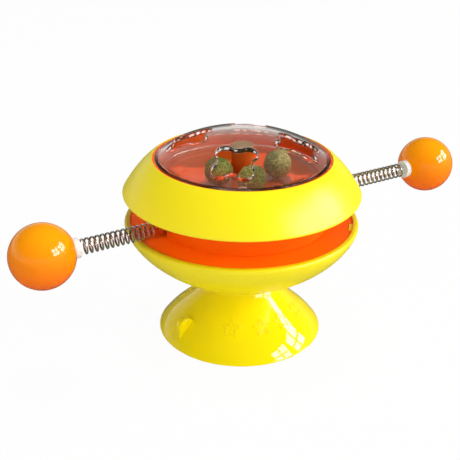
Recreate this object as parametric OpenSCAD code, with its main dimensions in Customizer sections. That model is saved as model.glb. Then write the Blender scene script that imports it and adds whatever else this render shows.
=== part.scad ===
// Rotating cat toy: a suction foot, a bowl, a turning ring with a catnip tray, and two balls on springs.
// Millimetres, +Z up. The origin is on the turning axis, level with the foot's rim. The arms lie along X.

/* [Foot] */
// Diameter of the suction rim
foot_d = 79; // [72:0.5:88]
// Height of the foot, up to the bowl's seat
foot_h = 27.5; // [26:0.5:32]
// Upright edge of the suction rim
foot_lip = 1.2; // [0.8:0.1:2]
// Width of the suction rim where it meets the floor
foot_rim_w = 2.9; // [2:0.1:4]
// Diameter of the neck below the bowl
neck_d = 31.8; // [31:0.2:34]
// Slope of the foot's side, in degrees from the floor
foot_slope = 44.5; // [42:0.5:46]
// How far the side's bend into the neck reaches up and down
neck_bend = 2.6; // [1:0.1:3]
// Height of the suction cavity
cavity_h = 15; // [10:0.5:16]
// Diameter of the cavity's flat top
cavity_top_d = 32; // [24:1:36]
// Radius of the lift tab's round top
tab_r = 4.4; // [3:0.1:5]
// Thickness of the lift tab
tab_t = 2.5; // [1.5:0.1:3]
// Height at which the lift tab's outer edge leaves the foot
tab_low = 4.1; // [3:0.1:5]
// Height of the lift tab
tab_h = 10.1; // [9:0.1:12]
// Direction of the lift tab, in degrees from +X
tab_angle = 184.5; // [170:0.5:200]

/* [Stem] */
// Diameter of the flange that is locked in the foot
stem_flange_d = 22; // [18:0.5:24]
// Thickness of that flange
stem_flange_t = 2.5; // [2:0.1:3]
// Foot material between the cavity and the flange
stem_skin = 3; // [2:0.1:3.5]
// Diameter of the stem
stem_d = 16; // [14.5:0.5:17]
// Diameter of the spigot in the bowl's floor
spigot_d = 12; // [10:0.5:13]

/* [Bowl] */
// Outer diameter of the bowl's rim
bowl_d = 109.8; // [106:0.2:114]
// Height of the bowl, from its seat to the rim's top
bowl_h = 31.35; // [30:0.05:33]
// Diameter of the flat middle of the bowl's underside
bowl_flat_d = 18.8; // [16:0.2:22]
// Diameter of the seat that stands on the neck
bowl_seat_d = 31; // [28:0.5:31]
// Fullness of the bowl's side: 1 is an ellipse, 2 is a cone
bowl_power = 1.279; // [1.1:0.001:1.4]
// Thickness of the bowl's floor
bowl_floor_t = 3.5; // [3:0.1:4.5]
// Radius that rounds the rim's outer edge
rim_round = 1.4; // [0.8:0.1:1.6]
// Width of the rim, out to the bowl's outer diameter
rim_w = 2.9; // [2.6:0.1:3.4]
// Width of the ledge that carries the deck
ledge_w = 2.5; // [2:0.1:3]
// Width of the two key lugs inside the rim
lug_w = 7.6; // [4:0.1:9]
// How far a key lug reaches in from the rim
lug_l = 1.9; // [1.5:0.1:3.6]
// Direction of the first key lug, in degrees from +X
lug_angle = -42.5; // [-60:0.5:-20]
// Number of screw bosses
boss_count = 3; // [3:1:4]
// Distance of the screw bosses from the axis
boss_pitch_r = 30; // [28:0.5:31]
// Diameter of a screw boss
boss_d = 7; // [6:0.1:8]

/* [Deck] */
// How far the deck's top lies below the rim's top
deck_drop = 0.55; // [0.4:0.05:0.8]
// Thickness of the deck
deck_t = 2.5; // [2:0.1:3]
// Space between the liner screws' heads and the step of the sunk dish
head_room = 1.2; // [0.6:0.1:2]
// Depth of the sunk dish below the deck's top
dish_depth = 3.3; // [3:0.1:4]
// Wall of the step between deck and dish
dish_wall = 2.5; // [2:0.1:3]
// Diameter of the hub that holds the axle
deck_hub_d = 16; // [15:0.5:20]
// How far the hub reaches below the dish
deck_hub_drop = 7.5; // [5:0.5:9]
// How far the hub stands above the dish
deck_hub_rise = 2; // [1.5:0.1:2.2]

/* [Axle and bearings] */
// Diameter of the axle
axle_d = 6; // [5:0.1:7]
// Outer diameter of the thrust and retaining washers
washer_d = 13.6; // [12:0.1:15]
// Thickness of a washer
washer_t = 1; // [0.8:0.1:1.2]
// Outer diameter of a bush
bush_d = 10; // [9:0.1:11]
// Length of a bush without its flange
bush_l = 6; // [4:0.1:6.5]
// Diameter of a bush's flange
bush_flange_d = 13.6; // [12:0.1:15]
// Thickness of a bush's flange
bush_flange_t = 1.2; // [1:0.1:1.3]

/* [Rotor] */
// Outer diameter of the drum
drum_d = 81.6; // [79:0.2:84]
// Wall of the drum
drum_wall = 2.4; // [2:0.1:3]
// Height of the drum's wall
drum_h = 18.2; // [17:0.1:19]
// Height from the drum's bottom to the top of its web
web_h = 14.2; // [13.5:0.1:14.8]
// Thickness of the web
web_t = 2.5; // [2:0.1:3]
// Diameter of the drum's hub
drum_hub_d = 18; // [16:0.5:20]
// Width of the two saddles that hold the spring anchors
saddle_w = 10; // [9:0.5:14]
// Distance of a saddle's inner face from the axis
saddle_from = 15; // [13:0.5:17]
// Length of a saddle
saddle_l = 15; // [10:0.5:17]

/* [Ring] */
// Largest diameter of the ring
ring_d = 110; // [107:0.5:114]
// Height of the gap between the bowl's rim and the ring
ring_gap = 13.15; // [12:0.05:14]
// Height of the ring
ring_h = 16.8; // [16:0.1:18]
// Wall of the ring
ring_wall = 2.6; // [2.2:0.1:3]
// Radius of the ring's lower edge
ring_edge_r = 0.9; // [0.5:0.1:1.2]
// Angle at which the ring's lower edge runs into its side
ring_edge_end = -10; // [-20:1:0]
// Diameter of the corner that rounds the ring's side into its top
ring_corner_d = 96.4; // [94:0.2:99]
// Height of that corner above the ring's lower edge
ring_corner_h = 12.4; // [11:0.1:13.5]
// Thickness of the flange that is clamped between drum and tray
ring_flange_t = 2; // [1.6:0.1:2.4]
// Width of that flange
ring_flange_w = 3.6; // [3:0.1:4.4]

/* [Dome] */
// Diameter of the dome
dome_d = 79.8; // [78:0.2:81]
// Rise of the dome above the ring's top
dome_rise = 11.7; // [10:0.1:13]
// Wall of the dome
dome_wall = 2.2; // [1.8:0.1:3.2]
// Number of bone-shaped holes
hole_count = 4; // [3:1:4]
// Distance of a hole's middle from the axis
hole_pitch_r = 24.5; // [23:0.1:26]
// Direction of the first hole, in degrees from +X
hole_angle = -130.5; // [-140:0.5:-120]
// Radius of a hole's lobes
lobe_r = 4.1; // [3.5:0.1:4.4]
// Distance between lobes across the dome's radius
lobe_across = 10.2; // [9.6:0.1:11]
// Distance between lobes along the dome's radius
lobe_along = 10.3; // [9.8:0.1:11]
// Overlap of a hole's middle past its lobes' centres
hole_waist = 2.3; // [1.6:0.1:2.8]

/* [Tray] */
// Thickness of the tray's floor
tray_t = 2; // [1.6:0.1:2.4]
// Depth of the tray's pan below the flange that carries the dome
pan_depth = 2.7; // [2:0.1:2.8]
// Thickness of the pan's wall
pan_wall = 2; // [1.6:0.1:2.4]
// Thickness of the lip round the dome
lip_t = 0.8; // [0.6:0.1:1.2]
// Diameter of the centre post
post_d = 10.2; // [9.6:0.1:11]
// Height of the post above the tray's floor, with its cap
post_h = 15.7; // [13:0.1:16.5]
// Thickness of the cap on the post
post_cap_t = 1.4; // [1:0.1:2]
// Length of the cap's plug
post_plug_l = 4; // [3:0.1:6]
// Diameter of the screwdriver way through the post
post_bore_d = 6.6; // [6.2:0.1:7]
// Number of bosses below the tray
tray_boss_count = 4; // [3:1:4]
// Distance of those bosses from the axis
tray_boss_pitch_r = 20; // [18:0.5:26]
// Diameter of those bosses
tray_boss_d = 6.4; // [5.6:0.1:7]
// Thread of the tray screws above the drum's web
tray_thread_l = 4.4; // [4:0.1:4.6]

/* [Arms] */
// Height of the arms above the deck
arm_rise = 4.5; // [4.4:0.1:5.5]
// Reach of the left arm, from the axis to its ball's middle
left_reach = 97.5; // [94:0.1:112]
// Reach of the right arm, from the axis to its ball's middle
right_reach = 115.4; // [98:0.1:118]
// Diameter of a ball
ball_d = 28.4; // [26:0.2:32]
// Wall of a ball
ball_wall = 1.4; // [1:0.1:2]
// Diameter of a ball's cap
cap_d = 8.8; // [8:0.1:10]
// Thickness of a ball's cap at its edge
cap_t = 2.6; // [2.4:0.1:3.4]
// Diameter of the cap's plug in the ball
cap_plug_d = 4.4; // [4:0.1:5]
// Length of the barb on the plug's end
barb_l = 2.4; // [1.6:0.1:3]
// How far the barb stands out from the plug
barb_step = 0.5; // [0.3:0.1:0.8]
// Outer diameter of a spring
spring_d = 7.2; // [6:0.1:7.3]
// Diameter of the spring's wire
wire_d = 0.78; // [0.6:0.02:0.9]
// Distance of a coil's inner end from the axis
spring_from = 45; // [44:0.1:46]
// Number of curls in the left spring
left_curls = 15; // [14:0.5:16]
// Number of curls in the right spring
right_curls = 19.5; // [17:0.5:21]
// Length of the straight leg at a spring's inner end
leg_l = 26; // [22:0.5:28]
// Length of the straight tail at a spring's outer end
tail_l = 2.4; // [2:0.1:2.6]
// Diameter of the anchor that holds a spring's leg
anchor_d = 5; // [4.4:0.1:5.6]
// Distance of an anchor's inner end from the axis
anchor_from = 13; // [12:0.5:13.5]

/* [Catnip] */
// Diameter of a catnip ball
catnip_d = 12.2; // [11:0.1:12.6]
// Distances of the catnip balls from the axis
catnip_reaches = [15.9, 19.2, 14.4]; // [13:0.1:22]
// Directions of the catnip balls, in degrees from +X
catnip_angles = [-34.5, -110.5, -168.5]; // [-180:0.5:180]

/* [Screws and fits] */
// Diameter of a screw's shank
screw_d = 2.6; // [2.2:0.1:3]
// Diameter of a screw's head
screw_head_d = 5.6; // [5:0.1:6]
// Height of a screw's head
screw_head_h = 1.8; // [1.4:0.1:2]
// Diameter of the stem screw's washer head
wide_head_d = 16; // [14:0.5:18]
// Thread of the stem, liner and retaining screws below the clamped wall
thread_l = 6; // [5:0.1:6.2]
// Gap in a push fit that doesn't move
push_gap = 0.02; // [0.01:0.01:0.05]
// Radial gap between a bush and the axle
running_gap = 0.05; // [0.02:0.01:0.1]
// Gap between flat faces that slide on each other
thrust_gap = 0.1; // [0.05:0.05:0.2]
// Gap round a piece that is dropped into its place
drop_gap = 0.1; // [0.05:0.05:0.2]
// Gap between pieces that must not rub
clear_gap = 0.3; // [0.2:0.05:0.4]

/* [Hidden] */
$fn = 96;
curve_steps = 20;
edge_steps = 6;
past = 1;

// Heights, from the foot up
stem_z = cavity_h + stem_skin;
bowl_floor_z = foot_h + bowl_floor_t;
bowl_top = foot_h + bowl_h;
deck_z = bowl_top - deck_drop;
ledge_z = deck_z - deck_t;
dish_z = deck_z - dish_depth;
dish_under_z = dish_z - deck_t;
hub_top_z = dish_z + deck_hub_rise;
washer_top_z = hub_top_z + washer_t;
lower_bush_z = washer_top_z + thrust_gap;
drum_hub_z = lower_bush_z + bush_flange_t;
drum_z = deck_z + thrust_gap + clear_gap;
web_z = drum_z + web_h;
drum_top_z = drum_z + drum_h;
arm_z = deck_z + arm_rise;
axle_top_z = web_z + bush_flange_t + 2 * thrust_gap;
tray_under_z = drum_top_z + ring_flange_t;
tray_flange_z = tray_under_z + tray_t;
tray_z = tray_flange_z - pan_depth;
pan_under_z = tray_z - tray_t;
ring_z = bowl_top + ring_gap;
ring_top_z = ring_z + ring_h;
dome_z = tray_flange_z + thrust_gap;
post_top_z = tray_z + post_h - post_cap_t;

// Radii that other sizes give
foot_r = foot_d / 2;
bowl_r = bowl_d / 2;
rim_in_r = bowl_r - rim_w;
deck_r = rim_in_r - drop_gap;
ledge_in_r = rim_in_r - ledge_w;
dish_r = boss_pitch_r + screw_head_d / 2 + head_room;
ring_r = ring_d / 2;
dome_r = dome_d / 2;
lip_in_r = dome_r + clear_gap;
tray_r = lip_in_r + lip_t;
ring_bore_r = tray_r + drop_gap;
flange_in_r = ring_bore_r - ring_flange_w;
pan_r = flange_in_r - drop_gap;
ball_r = ball_d / 2;
coil_r = (spring_d - wire_d) / 2;
anchor_to = drum_d / 2 - drop_gap;
anchor_hole_r = anchor_d / 2 + push_gap;
tail_hole_r = wire_d / 2 + drop_gap;

// Sphere of the dome
dome_sphere_r = (dome_r * dome_r + dome_rise * dome_rise) / (2 * dome_rise);
dome_centre_z = ring_top_z + dome_rise - dome_sphere_r;

// Distances along an arm, back from its ball's middle
cap_seat_back = sqrt(ball_r * ball_r - cap_d * cap_d / 4);
cap_back = cap_seat_back + cap_t;
spring_back = cap_back + drop_gap;
barb_r = cap_plug_d / 2 + barb_step;
barb_back = sqrt((ball_r - ball_wall) ^ 2 - barb_r ^ 2) - drop_gap;

function bezier(a, k, b) =
  [for (i = [0:curve_steps]) let (u = i / curve_steps) (1 - u) ^ 2 * a + 2 * u * (1 - u) * k + u ^ 2 * b];

function arc(centre, r, from, to) =
  [for (i = [0:edge_steps]) let (t = from + (to - from) * i / edge_steps) centre + r * [cos(t), sin(t)]];

// Side of the bowl from its rim to the flat middle, starting at angle from
function bowl_curve(top_r, top_z, low_r, low_z, from) =
  [for (i = [0:curve_steps]) let (t = from + (90 - from) * i / curve_steps)
    [low_r + (top_r - low_r) * cos(t) ^ bowl_power, top_z - (top_z - low_z) * sin(t) ^ bowl_power]];

module at_angle(angle, r, z = 0) {
  rotate([0, 0, angle])
    translate([r, 0, z])
      children();
}

module round_copies(count, r, z, first = 0) {
  for (i = [0:count - 1])
    at_angle(first + 360 * i / count, r, z)
      children();
}

module ring_block(outer_d, inner_d, h) {
  difference() {
    cylinder(d = outer_d, h = h);
    translate([0, 0, -past])
      cylinder(d = inner_d, h = h + 2 * past);
  }
}

// Screw with the underside of its head at z = 0 and its shank below
module screw(head_d, shank_l) {
  cylinder(d = head_d, h = screw_head_h);
  translate([0, 0, -shank_l])
    cylinder(d = screw_d, h = shank_l + screw_head_h / 2);
}

// Foot
cone_top = [neck_d / 2, foot_lip + (foot_r - neck_d / 2) * tan(foot_slope)];
bend_low = cone_top + neck_bend * [1 / tan(foot_slope), -1];
foot_side = concat([[foot_r, foot_lip]], bezier(bend_low, cone_top, cone_top + [0, neck_bend]),
                   [[neck_d / 2, foot_h]]);

module suction_base() {
  cavity = [[0, -past], [foot_r - foot_rim_w, -past], [foot_r - foot_rim_w, 0],
            [cavity_top_d / 2, cavity_h], [0, cavity_h]];
  tab_out_r = foot_r - (tab_low - foot_lip) / tan(foot_slope);
  color("gold")
    difference() {
      union() {
        rotate_extrude()
          polygon(concat([[0, 0], [foot_r, 0]], foot_side, [[0, foot_h]]));
        at_angle(tab_angle, tab_out_r - tab_r, tab_low)
          rotate([90, 0, 0])
            translate([0, 0, -tab_t / 2]) {
              cube([tab_r, tab_h - tab_r, tab_t]);
              translate([0, tab_h - tab_r, 0])
                cylinder(r = tab_r, h = tab_t);
            }
      }
      rotate_extrude()
        polygon(cavity);
      translate([0, 0, stem_z])
        cylinder(r = stem_flange_d / 2 + push_gap, h = stem_flange_t);
      translate([0, 0, stem_z])
        cylinder(r = stem_d / 2 + push_gap, h = foot_h - stem_z + past);
    }
}

module base_stem() {
  color("khaki")
    difference() {
      union() {
        translate([0, 0, stem_z])
          cylinder(d = stem_flange_d, h = stem_flange_t);
        translate([0, 0, stem_z])
          cylinder(d = stem_d, h = foot_h - stem_z);
        translate([0, 0, stem_z])
          cylinder(d = spigot_d, h = bowl_floor_z - drop_gap - stem_z);
      }
      translate([0, 0, foot_h - thread_l])
        cylinder(r = screw_d / 2 + push_gap, h = bowl_floor_z - foot_h + thread_l + past);
    }
}

module stem_screw() {
  color("silver")
    translate([0, 0, bowl_floor_z]) {
      cylinder(d = wide_head_d, h = screw_head_h / 2);
      screw(screw_head_d, bowl_floor_t + thread_l - drop_gap);
    }
}

// Bowl
rim_from = asin((rim_round / (bowl_top - foot_h)) ^ (1 / bowl_power));
bowl_outer = bowl_curve(bowl_r, bowl_top, bowl_flat_d / 2, foot_h, rim_from);
rim_edge = arc([bowl_outer[0][0] - rim_round, bowl_top - rim_round], rim_round, 90, 0);
bowl_inner = bowl_curve(ledge_in_r, ledge_z, bowl_flat_d / 2, bowl_floor_z, 0);

module bowl_hollow() {
  difference() {
    rotate_extrude()
      polygon(concat([[0, bowl_top + past], [rim_in_r, bowl_top + past], [rim_in_r, ledge_z]],
                     bowl_inner, [[0, bowl_floor_z]]));
    round_copies(boss_count, boss_pitch_r, foot_h, 90)
      cylinder(d = boss_d, h = dish_under_z - foot_h);
    for (side = [0, 180])
      at_angle(lug_angle + side, rim_in_r - lug_l, ledge_z - past)
        translate([0, -lug_w / 2, 0])
          cube([lug_l + past, lug_w, deck_t + past]);
  }
}

module lower_bowl() {
  color("gold")
    difference() {
      union() {
        rotate_extrude()
          polygon(concat([[0, bowl_top]], rim_edge, bowl_outer, [[0, foot_h]]));
        translate([0, 0, foot_h])
          cylinder(d = bowl_seat_d, h = bowl_floor_t);
      }
      bowl_hollow();
      translate([0, 0, foot_h - past])
        cylinder(r = spigot_d / 2 + drop_gap, h = bowl_floor_t + 2 * past);
      round_copies(boss_count, boss_pitch_r, dish_under_z - thread_l, 90)
        cylinder(r = screw_d / 2 + push_gap, h = thread_l + past);
    }
}

// Deck
module bowl_liner() {
  section = [
    [0, dish_under_z], [dish_r + dish_wall, dish_under_z], [dish_r + dish_wall, ledge_z], [deck_r, ledge_z],
    [deck_r, deck_z], [dish_r, deck_z], [dish_r, dish_z], [0, dish_z]
  ];
  color("orangered")
    difference() {
      union() {
        rotate_extrude()
          polygon(section);
        translate([0, 0, dish_under_z - deck_hub_drop])
          cylinder(d = deck_hub_d, h = hub_top_z - dish_under_z + deck_hub_drop);
      }
      translate([0, 0, dish_under_z - deck_hub_drop - past])
        cylinder(r = axle_d / 2 + push_gap, h = hub_top_z - dish_under_z + deck_hub_drop + 2 * past);
      round_copies(boss_count, boss_pitch_r, dish_under_z - past, 90)
        cylinder(r = screw_d / 2 + drop_gap, h = deck_t + 2 * past);
      for (side = [0, 180])
        at_angle(lug_angle + side, rim_in_r - lug_l - drop_gap, ledge_z - past)
          translate([0, -lug_w / 2 - drop_gap, 0])
            cube([lug_l + past, lug_w + 2 * drop_gap, deck_t + 2 * past]);
    }
}

module liner_screws() {
  color("silver")
    round_copies(boss_count, boss_pitch_r, dish_z, 90)
      screw(screw_head_d, deck_t + thread_l - drop_gap);
}

// Axle and bearings
module axle() {
  low_z = dish_under_z - deck_hub_drop;
  color("silver")
    difference() {
      translate([0, 0, low_z])
        cylinder(d = axle_d, h = axle_top_z - low_z);
      translate([0, 0, axle_top_z - thread_l])
        cylinder(r = screw_d / 2 + push_gap, h = thread_l + past);
    }
}

module thrust_washer() {
  color("white")
    translate([0, 0, hub_top_z])
      ring_block(washer_d, axle_d + 2 * running_gap, washer_t);
}

module retaining_washer() {
  color("silver")
    translate([0, 0, axle_top_z])
      ring_block(washer_d, screw_d + 2 * drop_gap, washer_t);
}

module retaining_screw() {
  color("silver")
    translate([0, 0, axle_top_z + washer_t])
      screw(screw_head_d, washer_t + thread_l - drop_gap);
}

// Bush with its flange's outer face at z = 0 and its barrel above
module bush() {
  difference() {
    union() {
      cylinder(d = bush_flange_d, h = bush_flange_t);
      cylinder(d = bush_d, h = bush_flange_t + bush_l);
    }
    translate([0, 0, -past])
      cylinder(r = axle_d / 2 + running_gap, h = bush_flange_t + bush_l + 2 * past);
  }
}

module lower_bush() {
  color("ivory")
    translate([0, 0, lower_bush_z])
      bush();
}

module upper_bush() {
  color("ivory")
    translate([0, 0, web_z + bush_flange_t])
      rotate([180, 0, 0])
        bush();
}

// Rotor
module rotor_drum() {
  web_under_z = web_z - web_t;
  color("orangered")
    difference() {
      union() {
        translate([0, 0, drum_z])
          ring_block(drum_d, drum_d - 2 * drum_wall, drum_h);
        translate([0, 0, web_under_z])
          cylinder(d = drum_d - drum_wall, h = web_t);
        translate([0, 0, drum_hub_z])
          cylinder(d = drum_hub_d, h = web_z - drum_hub_z);
        for (side = [0, 180])
          at_angle(side, saddle_from, drum_z + thrust_gap)
            translate([0, -saddle_w / 2, 0])
              cube([saddle_l, saddle_w, web_under_z + web_t / 2 - drum_z - thrust_gap]);
      }
      translate([0, 0, drum_hub_z - past])
        cylinder(r = bush_d / 2 + push_gap, h = web_z - drum_hub_z + 2 * past);
      for (side = [0, 180]) {
        at_angle(side, anchor_from, arm_z)
          rotate([0, 90, 0])
            cylinder(r = anchor_hole_r, h = drum_d);
        at_angle(side, saddle_from - past, drum_z - past)
          translate([0, -anchor_hole_r, 0])
            cube([drum_d, 2 * anchor_hole_r, arm_z - drum_z + past]);
      }
      round_copies(tray_boss_count, tray_boss_pitch_r, web_under_z - past, 45)
        cylinder(r = screw_d / 2 + drop_gap, h = web_t + 2 * past);
    }
}

// Ring
ring_low = [ring_r, ring_z + ring_edge_r];
ring_high = [ring_bore_r, ring_top_z];
ring_side = bezier(ring_low, [ring_corner_d / 2, ring_z + ring_corner_h], ring_high);
ring_edge = arc([ring_low[0] - ring_edge_r, ring_z + ring_edge_r], ring_edge_r, -90, ring_edge_end);

// Inner face of the ring's wall: the side, moved in square to itself
function inward(points, i, d) =
  let (run = points[min(i + 1, len(points) - 1)] - points[max(i - 1, 0)])
    points[i] + d * [-run[1], run[0]] / norm(run);

module ring_cover() {
  collar_r = ring_bore_r + ring_wall;
  inner = [for (i = [curve_steps:-1:0]) inward(ring_side, i, ring_wall)];
  inner_low = [for (p = inner) if (p[0] > collar_r) p];
  color("gold")
    rotate_extrude()
      polygon(concat(
        ring_edge, ring_side,
        [[ring_bore_r, tray_under_z], [flange_in_r, tray_under_z], [flange_in_r, drum_top_z],
         [collar_r, drum_top_z], [collar_r, inner_low[0][1]]],
        inner_low, [[inner_low[len(inner_low) - 1][0], ring_z]]));
}

// Tray
module catnip_tray() {
  pan_in_r = pan_r - pan_wall;
  color("orangered")
    difference() {
      union() {
        translate([0, 0, pan_under_z])
          cylinder(r = pan_r, h = tray_t);
        translate([0, 0, pan_under_z])
          ring_block(2 * pan_r, 2 * pan_in_r, tray_flange_z - pan_under_z);
        translate([0, 0, tray_under_z])
          ring_block(2 * tray_r, 2 * pan_in_r, tray_t);
        translate([0, 0, tray_under_z])
          ring_block(2 * tray_r, 2 * lip_in_r, ring_top_z - clear_gap - tray_under_z);
        translate([0, 0, pan_under_z])
          cylinder(d = post_d, h = post_top_z - pan_under_z);
        round_copies(tray_boss_count, tray_boss_pitch_r, web_z, 45)
          cylinder(d = tray_boss_d, h = tray_z - web_z - tray_t / 2);
      }
      translate([0, 0, pan_under_z - past])
        cylinder(d = post_bore_d, h = post_top_z - pan_under_z + 2 * past);
      round_copies(tray_boss_count, tray_boss_pitch_r, web_z - past, 45)
        cylinder(r = screw_d / 2 + push_gap, h = tray_thread_l + past);
    }
}

module tray_screws() {
  color("silver")
    round_copies(tray_boss_count, tray_boss_pitch_r, web_z - web_t, 45)
      rotate([180, 0, 0])
        screw(screw_head_d, web_t + tray_thread_l - drop_gap);
}

module post_cap() {
  color("sandybrown")
    translate([0, 0, post_top_z]) {
      cylinder(d = post_d, h = post_cap_t);
      translate([0, 0, -post_plug_l])
        cylinder(r = post_bore_d / 2 - push_gap, h = post_plug_l + post_cap_t / 2);
    }
}

// Dome
module bone_hole() {
  for (x = [-1, 1], y = [-1, 1])
    translate([x * lobe_along / 2, y * lobe_across / 2])
      circle(r = lobe_r);
  square([lobe_along + 2 * hole_waist, lobe_across + 2 * hole_waist], center = true);
}

module dome_window() {
  bore_r = dome_r - dome_wall;
  tall = ring_top_z + dome_rise - dome_z + past;
  color("rosybrown", 0.5)
    difference() {
      intersection() {
        translate([0, 0, dome_centre_z])
          sphere(r = dome_sphere_r);
        translate([0, 0, dome_z])
          cylinder(r = dome_r, h = tall);
      }
      intersection() {
        translate([0, 0, dome_centre_z])
          sphere(r = dome_sphere_r - dome_wall);
        translate([0, 0, dome_z - past])
          cylinder(r = bore_r, h = tall);
      }
      round_copies(hole_count, hole_pitch_r, dome_z - past, hole_angle)
        linear_extrude(height = tall + past)
          bone_hole();
    }
}

// Arms
module on_arm(side) {
  rotate([0, 0, side < 0 ? 180 : 0])
    translate([0, 0, arm_z])
      children();
}

module along_x(x) {
  translate([x, 0, 0])
    rotate([0, 90, 0])
      children();
}

// The coil opens from its axis to its full radius in the first three quarters of a curl
rings_per_curl = 8;
wire_sides = 6;
opening_curls = 0.75;
function opening(curl, curls) =
  let (s = min(1, min(curl, curls - curl) / opening_curls)) s * s * (3 - 2 * s);

function spring_points(reach, curls) =
  let (end_x = reach - spring_back, pitch = (end_x - spring_from) / curls)
    concat(
      [[spring_from - leg_l, 0, 0], [spring_from - leg_l / 2, 0, 0]],
      [for (k = [0:curls * rings_per_curl])
        let (curl = k / rings_per_curl, r = coil_r * opening(curl, curls))
          [spring_from + curl * pitch, r * cos(360 * curl), r * sin(360 * curl)]],
      [[end_x + tail_l / 2, 0, 0], [end_x + tail_l, 0, 0]]);

function spring_turns(curls) =
  concat([0, 0], [for (k = [0:curls * rings_per_curl]) 360 * k / rings_per_curl], [360 * curls, 360 * curls]);

function unit(v) = v / norm(v);

function wire_rings(path, turns) =
  [for (i = [0:len(path) - 1])
    let (
      turn = turns[i],
      run = unit(path[min(i + 1, len(path) - 1)] - path[max(i - 1, 0)]),
      out = [0, cos(turn), sin(turn)],
      side = unit(out - (out * run) * run),
      cross_side = cross(run, side))
      for (s = [0:wire_sides - 1])
        path[i] + wire_d / 2 * (cos(360 * s / wire_sides) * side + sin(360 * s / wire_sides) * cross_side)];

module wire_tube(path, turns) {
  rings = len(path);
  last = (rings - 1) * wire_sides;
  walls = [for (i = [0:rings - 2], s = [0:wire_sides - 1])
    let (a = i * wire_sides + s, b = i * wire_sides + (s + 1) % wire_sides)
      for (face = [[a, a + wire_sides, b], [b, a + wire_sides, b + wire_sides]]) face];
  ends = [for (s = [1:wire_sides - 2]) for (face = [[0, s, s + 1], [last, last + s + 1, last + s]]) face];
  polyhedron(points = wire_rings(path, turns), faces = concat(walls, ends));
}

// Least distance between parts of the path that are most of a curl or more apart, less the wire
rings_apart = rings_per_curl - 2;
function least_gap(path) =
  min([for (i = [0:len(path) - 1])
    for (j = [i + rings_apart:1:len(path) - 1]) norm(path[i] - path[j])]) - wire_d;
echo(str("Least gap of a spring to itself: ", least_gap(spring_points(left_reach, left_curls)), " mm"));

module spring(reach, curls) {
  color("gainsboro")
    wire_tube(spring_points(reach, curls), spring_turns(curls));
}

module spring_anchor() {
  color("lightgray")
    difference() {
      along_x(anchor_from)
        cylinder(d = anchor_d, h = anchor_to - anchor_from);
      along_x(anchor_from - past)
        cylinder(r = tail_hole_r, h = anchor_to - anchor_from + 2 * past);
    }
}

module ball_cap(reach) {
  color("white")
    difference() {
      union() {
        difference() {
          along_x(reach - cap_back)
            cylinder(d = cap_d, h = cap_back);
          translate([reach, 0, 0])
            sphere(r = ball_r + push_gap);
        }
        along_x(reach - cap_seat_back - cap_t / 2)
          cylinder(d = cap_plug_d, h = cap_seat_back + cap_t / 2 - barb_back + barb_l / 2);
        along_x(reach - barb_back)
          cylinder(r1 = barb_r, r2 = cap_plug_d / 2 - barb_step, h = barb_l);
      }
      along_x(reach - cap_back - past)
        cylinder(r = tail_hole_r, h = tail_l + drop_gap + past);
    }
}

module ball(reach) {
  color("darkorange")
    difference() {
      translate([reach, 0, 0])
        sphere(r = ball_r);
      translate([reach, 0, 0])
        sphere(r = ball_r - ball_wall);
      along_x(reach - ball_r - past)
        cylinder(r = cap_plug_d / 2 + push_gap, h = ball_r);
    }
}

module left_spring_anchor() {
  on_arm(-1)
    spring_anchor();
}

module right_spring_anchor() {
  on_arm(1)
    spring_anchor();
}

module left_spring() {
  on_arm(-1)
    spring(left_reach, left_curls);
}

module right_spring() {
  on_arm(1)
    spring(right_reach, right_curls);
}

module left_ball_cap() {
  on_arm(-1)
    ball_cap(left_reach);
}

module right_ball_cap() {
  on_arm(1)
    ball_cap(right_reach);
}

module left_ball() {
  on_arm(-1)
    ball(left_reach);
}

module right_ball() {
  on_arm(1)
    ball(right_reach);
}

// Catnip
module catnip_ball(i) {
  color("olivedrab")
    at_angle(catnip_angles[i], catnip_reaches[i], tray_z + catnip_d / 2 + clear_gap)
      sphere(d = catnip_d);
}

suction_base();
base_stem();
stem_screw();
lower_bowl();
bowl_liner();
liner_screws();
axle();
thrust_washer();
retaining_washer();
retaining_screw();
rotor_drum();
lower_bush();
upper_bush();
left_spring_anchor();
right_spring_anchor();
ring_cover();
catnip_tray();
tray_screws();
post_cap();
dome_window();
left_spring();
left_ball_cap();
left_ball();
right_spring();
right_ball_cap();
right_ball();
catnip_ball(0);  // catnip_ball_1
catnip_ball(1);  // catnip_ball_2
catnip_ball(2);  // catnip_ball_3
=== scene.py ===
import math

import bmesh
import bpy
from mathutils import Matrix, Vector, noise


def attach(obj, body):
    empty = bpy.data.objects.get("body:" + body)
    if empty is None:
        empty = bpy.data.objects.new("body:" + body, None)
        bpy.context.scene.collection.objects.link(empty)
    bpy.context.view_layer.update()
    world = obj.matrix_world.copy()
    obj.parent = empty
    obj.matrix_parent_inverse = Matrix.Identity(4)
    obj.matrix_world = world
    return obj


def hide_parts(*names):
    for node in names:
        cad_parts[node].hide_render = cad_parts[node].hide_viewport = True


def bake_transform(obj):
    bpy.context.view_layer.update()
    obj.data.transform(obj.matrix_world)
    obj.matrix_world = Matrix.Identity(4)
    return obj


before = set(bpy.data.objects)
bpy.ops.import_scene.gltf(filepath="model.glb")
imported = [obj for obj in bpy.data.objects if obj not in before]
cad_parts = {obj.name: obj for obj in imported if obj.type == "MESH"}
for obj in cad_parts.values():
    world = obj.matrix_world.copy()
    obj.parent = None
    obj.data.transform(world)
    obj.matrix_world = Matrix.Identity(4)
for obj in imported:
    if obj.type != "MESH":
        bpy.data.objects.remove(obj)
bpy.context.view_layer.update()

# Sizes are in millimetres, as in the part's source, and pieces are scaled to metres when they are made
MM = 0.001
MERGE = 0.002
BORE_R = 1.32

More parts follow.
